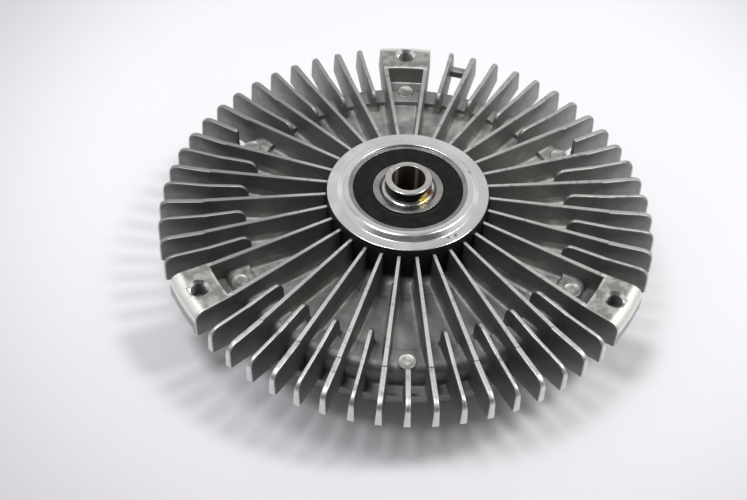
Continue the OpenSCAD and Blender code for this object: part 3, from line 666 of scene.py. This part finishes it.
def housing_section():
    """Turned section: hub with the rolled lip, finned floor, land, ledge, rolled rim and labyrinth"""
    groove_r = hub_r + 7.4
    ring_t, ring_pitch, z_ring = 1.6, 4, z_ceiling - 2.4
    bore_r, z_bore_top = bearing_r + fit_gap, z_bearing_top + fit_gap
    lands = []
    for k in range(6):
        r = rotor_high.x - 5 - ring_pitch * k
        lands += [(r, z_ceiling, 0), (r, z_ring, 0), (r - ring_t, z_ring, 0), (r - ring_t, z_ceiling, 0)]
    return turned(rounded([
        (shoulder_r, z_shoulder, 0), (shoulder_r, z_bearing, 0),
        (bore_r, z_bearing, 0), (bore_r, z_bore_top, 0),
        (bearing_r - 0.6, z_bore_top, 0), (bearing_r - 0.6, z_lip, 0.4),
        (lip_r - 1.4, z_lip, 1.6), (lip_r + 0.3, z_flange, 0.5),
        (hub_r, z_flange, 0.5), (hub_r, z_floor, 3.6),
        (groove_r - 1.2, z_floor, 0.2), (groove_r - 0.8, z_floor - 0.4, 0.2),
        (groove_r + 0.8, z_floor - 0.4, 0.2), (groove_r + 1.2, z_floor, 0.2),
        (land_r, z_floor, 0.6), (land_r + land_slant, z_land, 0.6), (wall_r, z_land, wall_r - edge_r),
        (wall_r, z_ledge, 0.8), (rim_r, z_ledge, 0.4), (rim_r, z_roll, 2.6),
        (skirt_r - 2.2, z_roll, 0.2), (skirt_r - 2.2, z_grip, 0), (skirt_r, z_grip, 0),
        (skirt_r, z_seat, 0), (pocket_r, z_seat, 0), (pocket_r, z_ceiling, 0), *lands,
        (recess_r, z_ceiling, 0), (recess_r, z_shoulder, 0)
    ]))


def fan_boss():
    """Lug between two long fins, rounded like the fin ends, with its web to the wall"""
    bm = bmesh.new()
    outline = rounded([
        (wall_r - fin_bed, z_web - web_t, 0), (wall_r - fin_bed, z_web, 0), (rim_r + 0.8, z_web, 0.8),
        (rim_r + 0.2, boss_top, 0.7), (tip_r, boss_top, fin_corner), (tip_r, boss_top - boss_t, 0.5)
    ])
    bm.faces.new([bm.verts.new((x, 0, z)) for x, z in outline])
    bmesh.ops.rotate(bm, cent=(0, 0, 0), matrix=turn(-fin_pitch), verts=bm.verts)
    bmesh.ops.spin(bm, geom=bm.verts[:] + bm.edges[:] + bm.faces[:], cent=(0, 0, 0), axis=(0, 0, 1),
                   angle=2 * fin_pitch, steps=16)
    return cleaned(bm)


def fan_bolt_hole():
    """Tapped hole with its countersink, as a cutter"""
    bore, crest, pitch = 2.5, 2.95, 1.0
    bottom = z_web - web_t - 1
    thread = [(bore if k % 2 else crest, boss_top - 1.4 - pitch * k / 2) for k in range(10)]
    return turned([(0, boss_top + 1), (bore + 2, boss_top + 1), (bore, boss_top - 1), *thread,
                   (bore, bottom), (0, bottom)], closed=False, steps=48)


def ejector_pad():
    """Round mark of a mould pin, with a dished face"""
    dish_r, edge, z_low = 2.7, 2.9, z_floor - fin_bed
    dish = [(dish_r * k / 6, z_land - 0.25 + 0.55 * (k / 6) ** 2) for k in range(6, -1, -1)]
    return turned([(0, z_low), (edge, z_low), (edge, z_land + 0.15), *dish], closed=False, steps=48)


def fin_bridge():
    """Cast bar left between two neighbouring fins"""
    half_length = fan_bolt_r * sin(fin_pitch / 2)
    half_t, z = 1.5, z_tip - 5.2
    return block((fan_bolt_r - half_t, -half_length, z - half_t),
                 (fan_bolt_r + half_t, half_length, z + half_t), 0.6)


def housing_surface(face, outwards, pad_centres):
    """Material of a housing face: 1 where machined, 2 where smoothly cast and 0 elsewhere"""
    countersink_r, boss_half, pad_face_r = 3.7, 10, 2.8
    middle = face.calc_center_median()
    if middle.xy.length < hub_r - 0.1 and middle.z > z_flange - 0.1:
        return 1
    for out in outwards:
        along = middle.xy.dot(out.xy)
        across = abs(middle.xy.cross(out.xy))
        near_hole = Vector((along - fan_bolt_r, across)).length < countersink_r
        if near_hole and boss_top - 1 < middle.z < boss_top - 0.1:
            return 1
        on_boss = along > rim_r + 0.1 and across < boss_half and middle.z > boss_top - boss_t
        if on_boss and face.normal.dot(out) > -0.5 and abs(face.normal.xy.cross(out.xy)) < 0.5:
            return 2
    on_pad = min((middle - centre).xy.length for centre in pad_centres) < pad_face_r
    return 2 if on_pad and middle.z > z_land - 0.4 and face.normal.z > 0.6 else 0


def finned_housing():
    first = pi / 2
    third = fin_count // 3
    most_stray = 0.12
    angles = {"long": [], "beside": [], "short": [], "stub": [], "boss": []}
    wobble = random.Random(3)
    for i in range(fin_count):
        if i % 2:
            kind = "beside" if i % third in (1, third - 1) else "long"
        else:
            kind = "boss" if i % third == 0 else "stub" if i % third == third // 2 else "short"
        stray = 0 if kind == "boss" else radians(wobble.uniform(-most_stray, most_stray))
        angles[kind].append(first + i * fin_pitch + stray)
    fins = merged(
        placed(long_fin(nick_widening), *map(turn, angles["long"])),
        placed(long_fin(0), *map(turn, angles["beside"])),
        placed(short_fin(), *map(turn, angles["short"])),
        placed(stub_fin(), *map(turn, angles["stub"]))
    )
    bosses = placed(fan_boss(), *map(turn, angles["boss"]))
    pad_angles = [first + pi / 3 * k for k in range(6)]
    pads = around(ejector_pad(), pad_r, pad_angles)
    bridge = placed(fin_bridge(), turn(first - 2.5 * fin_pitch))
    casting = combined("UNION", housing_section(), fins, bosses, pads, bridge)
    casting = combined("DIFFERENCE", casting, around(fan_bolt_hole(), fan_bolt_r, angles["boss"]))
    outwards = [turn(a) @ Vector((1, 0, 0)) for a in angles["boss"]]
    pad_centres = [turn(a) @ Vector((pad_r, 0, 0)) for a in pad_angles]
    casting.normal_update()
    for face in casting.faces:
        face.material_index = housing_surface(face, outwards, pad_centres)
    piece("finned_housing", casting, "housing", "clutch_body", "cast_aluminium",
          cast, machined, smooth_cast)


# Bearing and shaft


def drive_shaft():
    z_low, z_high = shaft_low.z, shaft_high.z
    z_bolt_seat = z_low + 11
    sleeve, collar = shaft_high.x, 11
    rotor_seat = sleeve - 0.5
    outline = rounded([
        (bolt_head_r, z_low, 0.4), (sleeve, z_low, 0.4), (sleeve, rotor_low.z, 0),
        (rotor_seat, rotor_low.z, 0), (rotor_seat, rotor_high.z, 0.2),
        (collar, rotor_high.z, 0), (collar, z_bearing, 0.2),
        (shaft_seat_r, z_bearing, 0), (shaft_seat_r, z_bearing_top, 0.2), (nose_r, z_bearing_top, 0.9),
        (nose_r, z_high, 0.5), (shaft_bore_r, z_high, 0.15), (shaft_bore_r, z_bolt_seat, 0),
        (bolt_head_r, z_bolt_seat, 0)
    ])
    piece("nose_shaft", turned(outline), "drive", "drive_shaft", "shaft_steel", nose_steel)


def ball_groove(sign):
    """Race of a bearing ring, cut towards the balls"""
    pitch, race, z_mid = (bearing_r + shaft_seat_r) / 2, 3.47, (z_bearing + z_bearing_top) / 2
    reach = 0.72
    angles = [reach * k / 8 for k in range(-8, 9)]
    return [Vector((pitch + sign * race * cos(a), z_mid + race * sin(a))) for a in angles]


def outer_ring():
    inner, z_low, z_high = bearing_r - 3, z_bearing + seal_t, z_bearing_top - seal_t
    outline = rounded([
        (bearing_r, z_bearing, 0.5), (bearing_r, z_bearing_top, 0.5), (seal_seat_r, z_bearing_top, 0.15),
        (seal_seat_r, z_high, 0), (inner, z_high, 0)
    ])
    outline += reversed(ball_groove(1))
    outline += rounded([(inner, z_low, 0), (seal_seat_r, z_low, 0), (seal_seat_r, z_bearing, 0)])
    piece("outer_ring", turned(outline), "housing", "bearing_outer_ring", "bearing_steel", ring_steel)


def inner_ring():
    bore = shaft_seat_r + fit_gap
    outline = rounded([(inner_ring_r, z_bearing, 0.2), (bore, z_bearing, 0.6), (bore, z_bearing_top - 1, 0),
                       (bore + 0.9, z_bearing_top, 0.1), (inner_ring_r, z_bearing_top, 0.2)])
    outline += reversed(ball_groove(-1))
    piece("inner_ring", turned(outline), "drive", "bearing_inner_ring", "bearing_steel", ring_steel)


def bearing_seal(name, node, up):
    """Rubber washer with a raised lip at the inner ring"""
    inner, outer = inner_ring_r + 0.1, seal_seat_r - fit_gap
    z = z_bearing_top if up > 0 else z_bearing
    outline = rounded([
        (inner, z - up * seal_t, 0), (outer, z - up * seal_t, 0), (outer, z - up * 0.2, 0.15),
        (outer - 0.9, z - up * 0.2, 0.2), (outer - 1.1, z - up * 0.35, 0.2),
        (inner + 1.5, z - up * 0.3, 0.3), (inner + 0.9, z, 0.3), (inner, z, 0.2)
    ])
    piece(name, turned(outline), "housing", node, "seal_rubber", rubber)


# Front cover and its temperature control


def cover_fin(hub):
    """Cooling fin of the cover along +X, tapered at its outer end"""
    root, z_root, end = hub - fin_bed, cover_face + fin_bed, cover_side - 2
    bm = slab(rounded([
        (root, z_root, 0), (root, seal_low.z - 0.6, 0), (hub + 2, 0, 1.2),
        (end - 4.6, 0, 1.5), (end, cover_face, 0), (end, z_root, 0)
    ]), 1)
    for v in bm.verts:
        v.co.y *= 1.7 + 0.6 * v.co.z / cover_face
    exposed = [
        e for e in bm.edges
        if e.verts[0].co.y * e.verts[1].co.y > 0 and all(v.co.z < cover_face for v in e.verts)
    ]
    round_edges(bm, exposed, 0.4, 2)
    return cleaned(bm)


def cover_section(hub):
    """Turned section of the cover, with its seal seat, groove for the ring and seat for the plate"""
    seal_r = seal_high.x + fit_gap
    z_hub, z_groove, z_plate, z_rib = seal_low.z - 0.8, z_seat - 1.7, z_seat - 1.2, cover_inside + 1.2
    groove_in = cover_side + 0.9
    groove_out = groove_in + 1.8
    plate_r, oil_r, rib_r = cover_side + 0.05, pocket_r - 2.5, 14
    return turned(rounded([
        (seal_r, z_hub, 0.3), (hub, z_hub, 0.5), (hub, cover_face, 0.8),
        (cover_side, cover_face, 2), (groove_out + 0.2, z_grip, 0.3), (cover_high.x, z_grip, 0),
        (cover_high.x, z_seat, 0.2), (groove_out, z_seat, 0), (groove_out, z_groove, 0),
        (groove_in, z_groove, 0), (groove_in, z_seat, 0), (plate_r, z_seat, 0),
        (plate_r, z_plate, 0), (oil_r, z_plate, 0), (oil_r, cover_inside, 1),
        (hub, cover_inside, 0), (hub - 0.6, z_rib, 0.3), (rib_r, z_rib, 0.2),
        (rib_r, cover_inside, 0), (seal_r, cover_inside, 0)
    ]))


def pin_guide():
    """Boss inside the cover that guides the control pin"""
    guide_r, z_low, z_top = 5, cover_face + 0.6, cover_inside + 1.4
    edge = 0.2
    return turned([
        (0, z_low), (guide_r, z_low), (guide_r, z_top - edge), (guide_r - edge, z_top), (0, z_top)
    ], closed=False, steps=64)


def pin_bore():
    """Bore for the control pin with the groove for its ring, as a cutter"""
    r, groove_r = 2.05, 3.58
    z_groove, z_groove_top, z_top = cover_inside - 1.9, cover_inside - 0.32, cover_inside + 2
    return turned([
        (0, cover_face - 1), (r + 0.3, cover_face - 0.3), (r, cover_face + 0.01), (r, z_groove),
        (groove_r, z_groove), (groove_r, z_groove_top), (r, z_groove_top), (r, z_top), (0, z_top)
    ], closed=False, steps=64)


def rivet_hole():
    """Blind hole for a clip rivet, as a cutter"""
    r, z_low, z_top = rivet_r + fit_gap, cover_face - 1, cover_face + 1.9
    return turned([(0, z_low), (r, z_low), (r, z_top), (0, z_top)], closed=False, steps=48)


def along_strip(bm, *places):
    """Copies of a mesh on the bimetal strip's centre line"""
    return placed(bm, *(Matrix.Translation((x, strip_y, 0)) for x in places))


def front_cover():
    hub = seal_high.x + 3.4
    pocket_margin, pocket_half = 3, 9.1
    fins = placed(cover_fin(hub), *(turn(2 * pi * i / cover_fin_count) for i in range(cover_fin_count)))
    pocket = block((clips_low.x - pocket_margin, strip_y - pocket_half, -20),
                   (clips_high.x + pocket_margin, strip_y + pocket_half, cover_face + 0.01), 2)
    casting = combined("UNION", cover_section(hub), combined("DIFFERENCE", fins, pocket))
    casting = combined("UNION", casting, along_strip(pin_guide(), 0))
    rivet_holes = along_strip(rivet_hole(), -rivet_x, rivet_x)
    casting = combined("DIFFERENCE", casting, along_strip(pin_bore(), 0), rivet_holes)
    piece("finned_cover", casting, "housing", "front_cover", "cast_aluminium", cast)


def bimetal_strip():
    """Blade in two halves, each cut across many times between its clip and the pin"""
    held, pushed, cuts = strip_high.x - 5, pin_high.x + 0.4, 16
    for name, side in (("bimetal_left", -1), ("bimetal_right", 1)):
        half = block(strip_low, strip_high, 0.15, 2)
        bisected(half, (1, 0, 0), [side * (pushed + (held - pushed) * k / cuts) for k in range(cuts + 1)])
        bmesh.ops.bisect_plane(half, geom=half.verts[:] + half.edges[:] + half.faces[:], plane_co=(0, 0, 0),
                               plane_no=(side, 0, 0), clear_inner=True)
        bmesh.ops.holes_fill(half, edges=[e for e in half.edges if e.is_boundary])
        blade = piece(name, cleaned(half), None, "bimetal_strip", "bimetal", bimetal)
        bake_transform(blade)


def control_pin():
    r = pin_high.x
    low, high = pin_low.z, pin_high.z
    pin = turned([(0, low), (r - 0.5, low), (r - 0.15, low + 0.15), (r, low + 0.5), (r, high - 0.2),
                  (r - 0.2, high), (0, high)], closed=False, steps=64)
    piece("pushed_pin", along_strip(pin, 0), "pin", "control_pin", "sheet_steel", ring_steel)


def clip_rivets():
    low, high = rivets_low.z, rivets_high.z
    head_h, dome_h = 1, 0.7
    angles = [pi / 2 * k / 6 for k in range(7)]
    dome = [(rivet_head_r * sin(a), low + dome_h * (1 - cos(a))) for a in angles]
    rivet = turned([
        *dome, (rivet_head_r, low + head_h), (rivet_r, low + head_h), (rivet_r, high), (0, high)
    ], closed=False, steps=48)
    rivets = along_strip(rivet, -rivet_x, rivet_x)
    piece("domed_rivets", rivets, "housing", "clip_rivets", "sheet_steel", sheet_steel)


def shaft_seal():
    lip = shaft_high.x + 0.05
    outer = seal_high.x
    low, high = seal_low.z, seal_high.z
    outline = rounded([
        (lip + 0.55, low, 0.2), (outer - 3.6, low, 0.2), (outer - 3.4, low + 0.3, 0.1),
        (outer - 1.2, low + 0.3, 0.1), (outer - 1, low, 0.2), (outer, low, 0.4), (outer, high, 0.2),
        (outer - 1.4, high, 0.1), (outer - 1.4, low + 1.5, 0.3), (lip + 1.65, low + 1.5, 0.2),
        (lip + 1.1, high - 1.4, 0.2), (lip, high - 1.75, 0)
    ])
    piece("lip_seal", turned(outline), "housing", "shaft_seal", "seal_rubber", rubber)


finned_housing()
drive_shaft()
outer_ring()
inner_ring()
bearing_seal("rear_seal", "bearing_rear_seal", 1)
bearing_seal("front_seal", "bearing_front_seal", -1)
front_cover()
shaft_seal()
bimetal_strip()
control_pin()
clip_rivets()

node_materials = {
    "cover_o_ring": rubber, "pin_o_ring": rubber, "separator_plate": sheet_steel,
    "valve_lever": sheet_steel, "lever_rivet": sheet_steel, "seal_spring": sheet_steel,
    "strip_clips": sheet_steel, "rotor": rotor_metal, "bearing_balls": ring_steel, "bearing_cage": polymer
}
for node, material in node_materials.items():
    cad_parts[node].data.materials.clear()
    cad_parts[node].data.materials.append(material)


# Stage


def paper_floor():
    """Pale paper with a painted pool of light round the clutch, darker towards the corners"""
    material, tree, shader = blank_material("paper", 0.0)
    where = position(tree)
    uneven = remap(tree, noise(tree, where, 6.0, 2.0), 0.3, 0.7, 0.97, 1.0)
    # Painted light: a pool of light round the clutch, fading to darker paper further out
    painted_light_pool = calc(tree, "MULTIPLY", spot(tree, where, (12, 52, 0), 110, 230), uneven)
    colour = blend(tree, painted_light_pool, (0.555, 0.545, 0.57), (0.905, 0.895, 0.91))
    tree.links.new(colour, shader.inputs["Base Color"])
    shader.inputs["Roughness"].default_value = 0.6
    half_size, drop = 3, 0.05 * MM
    bm = bmesh.new()
    bmesh.ops.create_grid(bm, x_segments=1, y_segments=1, size=half_size)
    bmesh.ops.translate(bm, vec=(0, 0, -drop), verts=bm.verts)
    mesh = bpy.data.meshes.new("floor")
    bm.to_mesh(mesh)
    bm.free()
    mesh.materials.append(material)
    floor = bpy.data.objects.new("floor", mesh)
    bpy.context.scene.collection.objects.link(floor)


def soft_light(name, place, size, watts, colour):
    """Round lamp that shines on the clutch"""
    light = bpy.data.lights.new(name, "AREA")
    light.shape = "DISK"
    light.size = size
    light.energy = watts
    light.color = colour
    lamp = bpy.data.objects.new(name, light)
    bpy.context.scene.collection.objects.link(lamp)
    aim = -Vector(place)
    lamp.matrix_world = Matrix.Translation(place) @ aim.to_track_quat("-Z", "Y").to_matrix().to_4x4()


def studio_sky():
    """Dim room with a pale wall behind the clutch, and windows at its sides and far corners"""
    world = bpy.data.worlds.new("room")
    world.use_nodes = True
    tree = world.node_tree
    direction = add(tree, "ShaderNodeTexCoord").outputs["Generated"]
    background = tree.nodes["Background"]
    background.inputs["Color"].default_value = (0.985, 0.985, 1, 1)
    axes = add(tree, "ShaderNodeSeparateXYZ", direction).outputs
    sideways = calc(tree, "ABSOLUTE", axes[0])
    sides = remap(tree, weighted(tree, sideways, 0.87, axes[2], 0.48), 0.82, 0.97, 0.0, 0.7)
    corners = remap(tree, weighted(tree, sideways, 0.74, axes[1], 0.67), 0.9, 0.99, 0.0, 0.45)
    wall = remap(tree, axes[1], 0.2, 0.68, 0.1, 0.75)
    glow = calc(tree, "ADD", wall, calc(tree, "ADD", sides, corners))
    tree.links.new(glow, background.inputs["Strength"])
    bpy.context.scene.world = world


def camera():
    """Photograph's view from the front and above"""
    spin, elevation, roll = radians(-1.38), radians(48.13), radians(2.59)
    place = (-0.01868, -0.34606, 0.35647 + z_flange * MM)
    data = bpy.data.cameras.new("camera")
    data.sensor_width = 36
    data.lens = 73.29
    viewer = bpy.data.objects.new("camera", data)
    bpy.context.scene.collection.objects.link(viewer)
    level = turn(spin) @ Matrix.Rotation(pi / 2 - elevation, 4, "X")
    viewer.matrix_world = Matrix.Translation(place) @ level @ turn(roll)
    bpy.context.scene.camera = viewer


paper_floor()
soft_light("window", (0.74, 0.0, 1.2), 0.32, 7.2, (1.0, 0.99, 0.98))
soft_light("ceiling", (-0.36, -0.08, 1.2), 0.42, 7.0, (0.99, 0.985, 1.03))
bpy.context.scene.view_settings.view_transform = "Standard"
studio_sky()
camera()
